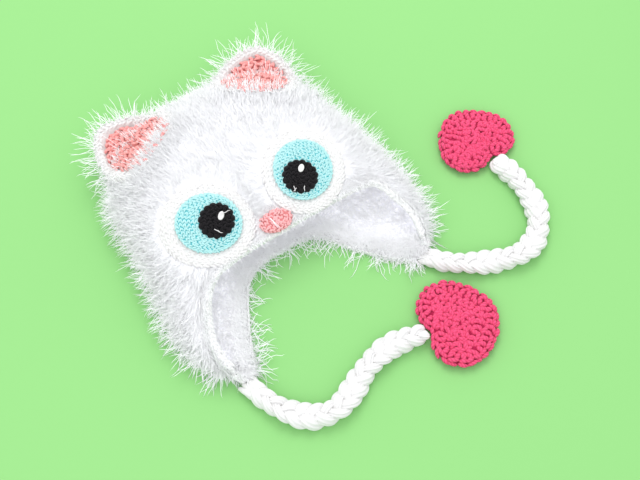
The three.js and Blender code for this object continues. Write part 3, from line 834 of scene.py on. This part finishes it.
class HAT_OT_plait_ties(bpy.types.Operator):
    """Plaits three strands of yarn along each tie, from the flap's tip to its heart"""

    bl_idname = "hat.plait_ties"
    bl_label = "Plait the ties"

    def execute(self, context):
        for side in SIDES:
            route = [(x * MM, y * MM, TIE_HEIGHT) for x, y in TIE_ROUTES[side]]
            tie = self.plait(context, side, route)
            make_piece(f"{side}_tie_gather", [self.gather(route)], "white")
        return {"FINISHED"}

    def gather(self, route):
        """Yarns drawn through the flap's tip, which draw together into the tie."""
        ahead = unit(np.array(route[1]) - route[0])
        aside = np.array((-ahead[1], ahead[0], 0))
        place = route[0] + 4 * MM * ahead + MM * GATHERED[:, :1] * aside
        place[:, 2] = MM * GATHERED[:, 1]
        way = unit(ahead - GATHERED[:, :1] / 40 * aside + 0.08 * UP)
        up = np.tile(UP, (len(place), 1))
        return leaves(place, way, up, 23 * MM, 6.4 * MM, 6.4 * MM, draws("ties"))

    def curve_through(self, route, count):
        route = np.array(route)
        walked = walk(route)
        return along_curve(hermite(np.linspace(0, walked[-1], 400), walked, route), count)

    def section(self, s):
        """Outline of one strand: an oval with the ridges of its nine yarns."""
        section = bpy.data.curves.new("strand_section", "CURVE")
        section.dimensions = "2D"
        ring = section.splines.new("POLY")
        ring.use_cyclic_u = True
        around = 2 * math.pi * np.arange(40) / 40
        ring.points.add(len(around) - 1)
        for point, a in zip(ring.points, around):
            ridge = 1 + 0.11 * (abs(math.cos(4.5 * a)) * 2 - 1)
            wide, thick = s.strand_width / 2 * math.cos(a), s.strand_thick / 2 * math.sin(a)
            point.co = (wide * ridge, thick * ridge, 0, 1)
        return add_object("strand_section", section)

    def plait(self, context, side, route):
        s = context.scene.hat_plaits
        count, roll = 190, 2.2
        middle, way = self.curve_through(route, count)
        length = walk(middle)[-1]
        walked = np.linspace(0, length, count)
        across = np.stack([-way[:, 1], way[:, 0], np.zeros(count)], axis=1)
        # The strands draw together at the flap's tip, and more sharply at the heart.
        gathered = 1 - 0.5 * np.exp(-walked / (20 * MM)) - 0.4 * np.exp((walked - length) / (7 * MM))
        ends = np.maximum(0, np.minimum(walked, length - walked))
        radii = np.minimum(1, 0.35 + np.sqrt(ends / (6 * MM))) * (0.62 + 0.38 * gathered)
        profile = self.section(s)
        curve = bpy.data.curves.new(f"{side}_plait", "CURVE")
        curve.dimensions = "3D"
        curve.twist_mode = "Z_UP"
        curve.bevel_mode = "OBJECT"
        curve.bevel_object = profile
        curve.use_fill_caps = True
        for k in range(3):
            phase = 2 * math.pi * (walked / s.period + k / 3)
            line = middle + (gathered * s.swing * np.sin(phase))[:, None] * across
            line[:, 2] += gathered * s.hop * np.sin(2 * phase)
            spline = curve.splines.new("POLY")
            spline.points.add(count - 1)
            for i, point in enumerate(spline.points):
                point.co = (*line[i], 1)
                point.radius = radii[i]
                point.tilt = roll * walked[i] / s.period
        plait = add_object(f"{side}_plait", curve)
        graph = context.evaluated_depsgraph_get()
        bm = bmesh.new()
        bm.from_mesh(plait.evaluated_get(graph).to_mesh())
        bpy.data.objects.remove(plait)
        bpy.data.objects.remove(profile)
        points, triangles = part_of(bm)
        yarn = np.tile((0, 0.5, 0.8), (len(points), 1))
        return make_piece(f"{side}_plaited_tie", [(points, triangles, yarn)], "white", f"{side}_tie")


class HAT_OT_crochet_hearts(bpy.types.Operator):
    """Works each heart from two lobes: a border, rounds of stitches and fans of long ones"""

    bl_idname = "hat.crochet_hearts"
    bl_label = "Crochet the hearts"

    def execute(self, context):
        s = context.scene.hat_stitches
        pitch = 1.3 * s.chunky
        stitch = (pitch, 7.2 * MM, 4 * MM)
        fan_pitch, fan_lift, fan_spread, fan_leaf = 5.6 * MM, 0.3 * MM, 0.16, (4.8 * MM, 4.4 * MM)
        for side in SIDES:
            rng = draws("hearts", side)
            pad = soft_copy(f"{side}_heart")
            tree = tree_of(pad)
            made, taken = [pad], []
            for share, splay, lift in HEART_ROUNDS:
                place, along, _, up = self.seats(side, tree, share, pitch)
                seats = (place + lift * MM * up, along, up)
                made.append(vees(*seats, *stitch, rng, splay=splay, uneven=0.14))
                taken.append(place)
            for share, length in HEART_FANS:
                place, _, out, up = self.seats(side, tree, share, fan_pitch)
                out = unit(out + fan_spread * rng.normal(0, 1, out.shape))
                made.append(leaves(place + fan_lift * up, out, up, length * MM, *fan_leaf, rng))
                taken.append(place)
            spots = bare_spots(*self.outline(side), np.concatenate(taken), 0.8 * s.chunky)
            place, up, _ = dropped(spots, tree)
            along = unit(np.cross(up, unit(rng.normal(0, 1, place.shape))))
            made.append(vees(place, along, up, *stitch, rng, splay=24, uneven=0.17))
            make_piece(f"{side}_heart_crochet", made, "rose", f"{side}_heart")
        return {"FINISHED"}

    def outline(self, side):
        return reach_of(f"{side}_heart", MM * np.array(HEARTS[side][:2]))

    def seats(self, side, tree, share, pitch):
        """Seats at a share of the way from stem to outline, and the ways round, outwards and up there."""
        rim, _ = along_curve(ring_of(*self.outline(side)), 480, closed=True)
        start = self.stem(side, rim)
        ring = start + (rim - start) * share
        walked = np.cumsum(np.linalg.norm(np.roll(ring, -1, axis=0) - ring, axis=1))
        at = np.linspace(0, walked[-1], max(3, round(walked[-1] / pitch)), endpoint=False)
        pick = np.searchsorted(walked, at, side="right")
        around = np.roll(ring, -4, axis=0) - np.roll(ring, 4, axis=0)
        place, up, hit = dropped(ring[pick], tree)
        along, out = (square_to(level(way[pick][hit]), up) for way in (around, rim - start))
        return place, along, out, up

    def stem(self, side, rim):
        """Where stitches that end at the rim begin: on a line from one lobe over the body to the other."""
        x, y, turn = HEARTS[side]
        ahead = circle(math.radians(turn))
        aside = np.array((-ahead[1], ahead[0]))
        bends = ((LOBE[0], LOBE[1]), (9, 0), (LOBE[0], -LOBE[1]))
        line = [MM * (np.array((x, y)) + a * ahead + b * aside) for a, b in bends]
        fine, _ = along_curve(line, 60)
        return fine[np.linalg.norm(rim[:, None] - fine[None], axis=2).argmin(1)]


class HAT_OT_crochet_crown(bpy.types.Operator):
    """Works the crown and its flaps, with rows of stitches and a short nap on the inner side"""

    bl_idname = "hat.crochet_crown"
    bl_label = "Crochet the crown"

    def execute(self, context):
        rng = draws("crown")
        outside = fabric_layer(WHOLE_TURNS, 0, 40, 150)
        inside = fabric_layer(WHOLE_TURNS, WALL, 40, 150, flip=True)
        rows = self.rows(context.scene.hat_stitches, rng)
        make_piece("crown_crochet", [outside, inside, rows], "inside", "crown")
        make_piece("inner_nap", [self.nap(rng)], "shag")
        return {"FINISHED"}

    def rows(self, s, rng):
        """Rows of stitches on the inner side, where the opening shows it."""
        around = np.linspace(*INNER_TURNS, 400)
        turns, shares = [], []
        for k, share in enumerate(np.arange(0.5, 0.995, s.middle / (190 * MM))):
            walked = walk(fabric_point(around, np.full(len(around), share), WALL))
            even = np.arange(0.5 * (k % 2) * s.middle, walked[-1], s.middle)
            turns.append(np.interp(even, walked, around))
            shares.append(np.full(len(even), share))
        place, way, _, out, _ = fabric_frame(np.concatenate(turns), np.concatenate(shares), WALL)
        seats = (place - 0.2 * MM * out, way, -out)
        return vees(*seats, s.middle, s.middle, 1.7 * MM, rng, uneven=0.2)

    def nap(self, rng):
        """Short hairs that lie on the inner side, along its rows of stitches or against them."""
        tries, wanted, press = 16000, 5200, 0.12
        turn, share = rng.uniform(195, 345, tries), rng.uniform(0.6, 1, tries)
        root, _, down, out, area = fabric_frame(turn, share, WALL + 1 * MM)
        kept = drawn(area / area.max(), wanted, rng)
        root, down, out = root[kept], down[kept], out[kept]
        way = 0.5 * rng.normal(0, 1, root.shape) + down * rng.choice((-0.5, 0.5), (len(kept), 1))
        way = unit(way)
        way = unit(way - out * (np.sum(way * out, axis=1, keepdims=True) + press))
        bend = 0.2 * rng.normal(0, 1, way.shape)
        return strands(root, way, rng.uniform(5, 12, len(kept)) * MM, 0.22 * MM, bend, 0.08, rng)


class HAT_OT_work_edging(bpy.types.Operator):
    """Works the finished edge round the brim and the flaps"""

    bl_idname = "hat.work_edging"
    bl_label = "Work the edging"

    def execute(self, context):
        s = context.scene.hat_stitches
        rng = draws("edging")
        middle, along, through, off = self.edge(self.even_turns(round(880 * MM / s.chunky)))
        rope = [self.core()]
        # Stitches on each face and on the rim: from the middle off the edge and through the fabric, lowest
        # height, direction of their backs, and width of the row
        for outwards, face, low, out, row in (
            (0.1, 0.42, 1.2, through, 6.6),
            (0.1, -0.42, 1.2, -through, 6.6),
            (0.4, 0, 1.5, off, 4.4),
        ):
            place = middle + off * EDGE_WIDTH * outwards + through * EDGE_THICK * face
            place[:, 2] = np.maximum(place[:, 2], low * MM)
            rope.append(vees(place, along, out, s.chunky, row * MM, 2.2 * MM, rng))
        make_piece("edging_crochet", rope, "edge", "brim_edging")
        make_piece("edging_fuzz", [self.fuzz(rng)], "shag")
        return {"FINISHED"}

    def fuzz(self, rng):
        """Short hairs that lie on the edging and on the fabric beside it, on the side that is seen."""
        count = 12000
        middle, along, through, off = self.edge(rng.uniform(0, 360, count))
        through = through * np.sign(through[:, 2:])
        wide = rng.triangular(-1.9, -0.8, 0.5, (count, 1)) * EDGE_WIDTH
        root = middle + off * wide + through * (0.5 * EDGE_THICK + 1.2 * MM)
        lie = along * rng.normal(0, 0.8, (count, 1)) + off * rng.normal(0.3, 0.6, (count, 1))
        way = unit(lie + 0.1 * through)
        bend = 0.15 * rng.normal(0, 1, way.shape) - 0.15 * through
        return strands(root, way, rng.uniform(5, 13, count) * MM, 0.24 * MM, bend, 0.08, rng)

    def even_turns(self, count):
        """Turns at even steps along the edge of the fabric."""
        turn = np.linspace(0, 360, 1441)
        walked = walk(fabric_point(turn, np.ones(len(turn)), WALL / 2))
        return np.interp(np.linspace(0, walked[-1], count, endpoint=False), walked, turn)

    def edge(self, turn):
        """Middle of the edging at turns, and the directions along it, through the fabric and off its edge."""
        one = np.ones(len(turn))
        middle = fabric_point(turn, one, WALL / 2)
        along = unit(fabric_point(turn + 0.5, one, WALL / 2) - fabric_point(turn - 0.5, one, WALL / 2))
        through = unit(fabric_point(turn, one, 0) - fabric_point(turn, one, WALL))
        off = unit(np.cross(through, along))
        return middle + off * EDGE_WIDTH / 2, along, through, off

    def core(self):
        """The tube under the stitches, which closes onto the fabric's edge."""
        columns, sides = 260, 12
        points, triangles = grid_part(columns, sides)
        column = np.round((points[:, 0] + 0.5) * columns).astype(int) % columns
        around = 2 * math.pi * (points[:, 1] + 0.5)
        middle, _, through, off = self.edge(self.even_turns(columns))
        outwards = 0.62 * EDGE_WIDTH * np.cos(around) - 0.12 * EDGE_WIDTH
        co = middle[column] + off[column] * outwards[:, None]
        co = co + through[column] * (0.45 * EDGE_THICK * np.sin(around))[:, None]
        co[:, 2] = np.maximum(co[:, 2], 0.3 * MM)
        # All its yarn is nought, so the tube shows in the edging's colour of the gaps, which is painted
        # shade.
        return co, triangles, np.zeros((len(co), 3))


class HAT_OT_sew_ears(bpy.types.Operator):
    """Works the ears: a white back with a raised border, and a chunky pink lining"""

    bl_idname = "hat.sew_ears"
    bl_label = "Sew the ears"

    def execute(self, context):
        s = context.scene.hat_stitches
        for side in SIDES:
            rng = draws("ears", side)
            middle = ear_frame(side)[0]
            node = f"{side}_ear_back"
            back, _ = worked(node, EAR_ROUNDS, s.middle, s.middle, 1.8 * MM, rng, middle, uneven=0.14)
            make_piece(f"{side}_ear_crochet", back, "white", node)
            node = f"{side}_ear_lining"
            lining, _ = worked(node, LINING_ROUNDS, s.chunky, 6.2 * MM, 3 * MM, rng, middle, uneven=0.2)
            make_piece(f"{side}_lining_crochet", lining, "pink", node)
        return {"FINISHED"}


class HAT_OT_sew_eyes(bpy.types.Operator):
    """Works each eye in rounds: white patch, blue iris, black pupil and a white glint with its thread"""

    bl_idname = "hat.sew_eyes"
    bl_label = "Sew the eyes"

    def execute(self, context):
        s = context.scene.hat_stitches
        for side in SIDES:
            rng = draws("eyes", side)
            for name, yarn, shares, stitch, thick, splay, border in EYE_LAYERS:
                node = f"{side}_eye_{name}"
                pitch = getattr(s, stitch)
                sizes = (pitch, 0.93 * pitch, thick * MM)
                made, tree = worked(node, shares, *sizes, rng, long=1.2, splay=splay)
                if border:
                    share, pitch, *sizes = border
                    seats = round_seats(node, tree, (share,), pitch * MM)
                    made.append(leaves(*seats, *(v * MM for v in sizes), rng))
                make_piece(f"{node}_crochet", made, yarn, node)
            node = f"{side}_eye_glint"
            make_piece(f"{node}_stitch", [soft_copy(node), self.threads(side, rng)], "white", node)
        return {"FINISHED"}

    def threads(self, side, rng):
        """Loose ends of white thread: from the glint over the pupil, and at the pupil's lower left."""
        pupil, starts, ends = (np.array(rows) for rows in THREADS[side])
        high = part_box(f"{side}_eye_pupil")[1][2] + 0.9 * MM
        root = level((pupil + starts) * MM, high)
        tip = level((pupil + ends) * MM, high - 1 * MM)
        length = np.linalg.norm(tip - root, axis=1)
        bend = np.tile(0.02 * UP, (len(root), 1))
        return strands(root, unit(tip - root), length, 0.42 * MM, bend, 0.08, rng, cuts=6)


class HAT_OT_sew_nose(bpy.types.Operator):
    """Works the nose, with a white thread drawn over it"""

    bl_idname = "hat.sew_nose"
    bl_label = "Sew the nose"

    def execute(self, context):
        s = context.scene.hat_stitches
        rng = draws("nose")
        nose, _ = worked("nose", NOSE_ROUNDS, s.fine, s.fine, 2.2 * MM, rng, uneven=0.18)
        make_piece("nose_crochet", nose, "nose", "nose")
        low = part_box("nose")[1][2] - 0.8 * MM
        root = level(MM * np.array(((-10, -36), (-9, -37))), low)
        way = unit(np.array([(0.25, -1, 0.25), (0.1, -1, 0.2)]))
        bend = np.array([(0, 0, -0.3), (0, 0, -0.25)])
        thread = strands(root, way, (19 * MM, 16 * MM), 0.4 * MM, bend, 0.02, rng, cuts=6)
        make_piece("nose_thread", [thread], "shag")
        return {"FINISHED"}


class HAT_OT_comb_coat(bpy.types.Operator):
    """Covers the face with a brushed nap, and stands tufts of eyelash yarn along the folds, ears and brim"""

    bl_idname = "hat.comb_coat"
    bl_label = "Comb the coat"

    def execute(self, context):
        s = context.scene.hat_coat
        rng = np.random.default_rng(s.seed)
        # The backing shows in the coat's root colour, which is painted shade under the strands.
        backing = fabric_layer(BACKING_TURNS, -COAT_LIFT, 60, 110)
        make_piece("coat_backing", [backing], "shag", "shaggy_coat")
        root, way, length, bend = self.nap(s, rng)
        parts = np.array_split(np.argsort(root[:, 0]), 4)
        for name, pick in zip(("left_side", "left_face", "right_face", "right_side"), parts):
            coat = strands(root[pick], way[pick], length[pick], s.radius, bend[pick], 0.04, rng)
            make_piece(f"shag_{name}", [coat], "shag", "shaggy_coat")
        make_piece("shag_fringe", [self.fringe(s, rng)], "shag", "shaggy_coat")
        for side in SIDES:
            make_piece(f"{side}_ear_fringe", self.ear_fringe(s, side, backing, rng), "shag")
        make_piece("brim_fringe", [self.brim_fringe(s, rng)], "shag")
        return {"FINISHED"}

    def nap(self, s, rng):
        """Roots, ways, lengths and bends of the strands that lie on the coat."""
        tries = 8 * s.strands
        turn = rng.uniform(*COAT_TURNS, tries)
        share = rng.uniform(0.02, 0.997, tries)
        root, _, down, normal, area = fabric_frame(turn, share, -COAT_LIFT)
        kept = drawn(area / area.max(), s.strands, rng, self.bare(root) > 1)
        root, down, normal = root[kept], down[kept], normal[kept]
        count, hem_from, hem_over, wild = len(kept), 0.9, 0.06, 0.3
        # Beside the hem some strands lie over it.
        over = np.clip((share[kept] - hem_from) / hem_over, 0, 1) * rng.uniform(-0.3, 2, count)
        rise = rng.uniform(0.05, 0.5, count)[:, None]
        way = self.flow(root) + over[:, None] * down + rise * normal
        way = unit(way + wild * rng.normal(0, 1, root.shape))
        length = s.nap * rng.uniform(0.5, 1.15, count)
        bend = 0.15 * rng.normal(0, 1, root.shape) - 0.12 * normal
        # Strands that would lie far over a bare place are left out, so its border is uneven.
        near = rng.uniform(0.74, 0.92, count)
        half, tip = (root + length[:, None] * reach for reach in (0.5 * way, way + bend))
        clear = (self.bare(tip) > near) & (self.bare(half) > near)
        return root[clear], way[clear], length[clear], bend[clear]

    def fringe(self, s, rng):
        """Tufts that stand out along the folds and the crown's far edge."""
        tries = 40 * s.tufts
        share = rng.uniform(0.02, 0.985, tries)
        # All turns meet at the crown's far edge.
        turn = np.where(share < 0.3, rng.uniform(0, 360, tries), rng.uniform(*COAT_TURNS, tries))
        root, _, _, normal, area = fabric_frame(turn, share, -COAT_LIFT)
        edge = np.clip(1.05 - normal[:, 2], 0, 1) ** 1.5 * (normal[:, 2] > -0.5)
        kept = drawn(edge * area / area.max(), s.tufts, rng, self.bare(root) > 1.15)
        root, normal = root[kept], normal[kept]
        way = unit(self.flow(root) * 0.5 + normal)
        length = s.long * (1 - 0.38 * np.clip(normal[:, 2], 0, 1))
        return tufts(root, way, length, s.lashes, 0.62, s.radius, rng, curl=0.03)

    def ear_fringe(self, s, side, backing, rng):
        """Tufts behind an ear's outline, a nap on its border, and strands over its foot and before it."""
        rim_tufts, rim_height, border_hairs, border_lift = 36, 5 * MM, 300, 1.4 * MM
        veil_long, bank_long = 14 * MM, 15 * MM
        middle, _, away = ear_frame(side)
        _, reach = reach_of(f"{side}_ear_back", middle)
        up = math.atan2(away[1], away[0])
        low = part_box(f"{side}_ear_back")[0][2]
        angle = up + np.linspace(-1.75, 1.75, rim_tufts) + rng.normal(0, 0.03, rim_tufts)
        out = level(circle(angle))
        root = np.append(middle, low + rim_height) + out * (0.97 * reach(angle))[:, None]
        rim = tufts(root, unit(out + 0.12 * UP), s.long, 4, 0.38, s.radius, rng, droop=0.05)
        angle = up + rng.uniform(-1.8, 1.8, border_hairs)
        share = rng.uniform(0.88, 1, border_hairs)
        plan = middle + circle(angle) * (share * reach(angle))[:, None]
        ear = soft_copy(f"{side}_ear_back", 1)
        place, normal, hit = dropped(plan, tree_of(ear))
        way = unit(level(circle(angle[hit])) + 0.25 * normal + 0.7 * rng.normal(0, 1, normal.shape))
        lengths = rng.uniform(3, 7, len(place)) * MM
        bend = 0.2 * rng.normal(0, 1, place.shape)
        border = strands(place + border_lift * normal, way, lengths, 0.8 * s.radius, bend, 0.08, rng)
        bed = joined([backing, ear, soft_copy(f"{side}_ear_lining", 1)])
        place, normal = self.foot(side, 1, 1, (-10, 0, 8), bed, rng)
        lie = unit(np.append(away, 0.16) + 0.25 * normal)
        length = rng.uniform(0.5, 1.2, len(place)) * veil_long
        veil = tufts(place, lie, length, 3, 0.3, 0.85 * s.radius, rng, droop=0.05, cuts=2)
        place, normal = self.foot(side, 1.05, -1, (-3, 1, 13), backing, rng)
        stand = unit(np.append(0.8 * away, 0.1) + 0.6 * normal)
        length = rng.uniform(0.6, 1.15, len(place)) * bank_long
        bank = tufts(place, stand, length, 4, 0.24, s.radius, rng, droop=0.3, cuts=2)
        return [rim, border, veil, bank]

    def foot(self, side, wide, sign, spread, bed, rng):
        """Places on a bed's top about an ear's foot, and the normals there."""
        middle, across, away = ear_frame(side)
        along = rng.uniform(-wide, wide, EAR_VEILS[side]) * EAR_HALF
        back = -EAR_ROOT + sign * rng.triangular(*spread, EAR_VEILS[side]) * MM
        plan = middle + along[:, None] * across + back[:, None] * away
        return dropped(plan, tree_of(bed))[:2]

    def brim_fringe(self, s, rng):
        """Loose strands that lie on the table along the edge of the back layer."""
        turn = rng.uniform(*BRIM_TURNS, 70)
        one = np.ones(len(turn))
        root = fabric_point(turn, one, WALL)
        ahead = fabric_point(turn + 0.5, one, WALL) - root
        off = unit(np.cross(ahead, UP))
        off *= np.where(off[:, 1:2] > 0, -1, 1)
        root = root + off * EDGE_WIDTH - 1 * MM * UP
        return tufts(root, off, 0.9 * s.long, 3, 0.5, s.radius, rng, droop=0.1, curl=0.1)

    def bare_places(self, points):
        """For each bare place, points from its middle in plan, and how far that is in shares of its reach."""
        for x, y, turn, long, short in BARE:
            off = points[:, :2] - MM * np.array((x, y))
            c, s = circle(math.radians(turn))
            a = (off[:, 0] * c + off[:, 1] * s) / (MM * long)
            b = (off[:, 1] * c - off[:, 0] * s) / (MM * short)
            yield off, np.hypot(a, b)

    def bare(self, points):
        """How far points are from the middle of the nearest bare place, in shares of its reach."""
        return np.min([near for _, near in self.bare_places(points)], axis=0)

    def flow(self, points):
        """Direction that the coat is combed in: away from the nose, and off the bare places."""
        felt_from, fades_over, strength = 1.7, 0.6, 1.2
        way = unit(points[:, :2] - NOSE)
        for off, near in self.bare_places(points):
            pull = np.clip((felt_from - near) / fades_over, 0, 1)[:, None]
            way = way * (1 - pull) + unit(off) * pull * strength
        return level(unit(way))


class HAT_PT_panel(bpy.types.Panel):
    """Lists the steps that dress the hat"""

    bl_idname = "HAT_PT_panel"
    bl_label = "Cat-ear hat"
    bl_space_type = "VIEW_3D"
    bl_region_type = "UI"
    bl_category = "Hat"

    def draw(self, context):
        for step in STEPS:
            self.layout.operator(step.bl_idname)
        for group in GROUPS:
            settings = getattr(context.scene, group)
            for name in settings.__annotations__:
                self.layout.prop(settings, name)


# Steps in their order: the ties come after the hearts that they end in.
STEPS = (
    HAT_OT_set_stage,
    HAT_OT_crochet_hearts,
    HAT_OT_plait_ties,
    HAT_OT_crochet_crown,
    HAT_OT_work_edging,
    HAT_OT_sew_ears,
    HAT_OT_sew_eyes,
    HAT_OT_sew_nose,
    HAT_OT_comb_coat,
)
GROUPS = {
    "hat_colours": YarnColours,
    "hat_stitches": StitchSizes,
    "hat_coat": CoatSizes,
    "hat_plaits": PlaitSizes,
    "hat_stage": StageSettings,
}
CLASSES = (*GROUPS.values(), *STEPS, HAT_PT_panel)


def register():
    for cls in CLASSES:
        bpy.utils.register_class(cls)
    for name, group in GROUPS.items():
        setattr(bpy.types.Scene, name, bpy.props.PointerProperty(type=group))


def unregister():
    for name in GROUPS:
        delattr(bpy.types.Scene, name)
    for cls in reversed(CLASSES):
        bpy.utils.unregister_class(cls)


def main():
    register()
    for step in STEPS:
        space, name = step.bl_idname.split(".")
        getattr(getattr(bpy.ops, space), name)()


if __name__ == "__main__":
    main()
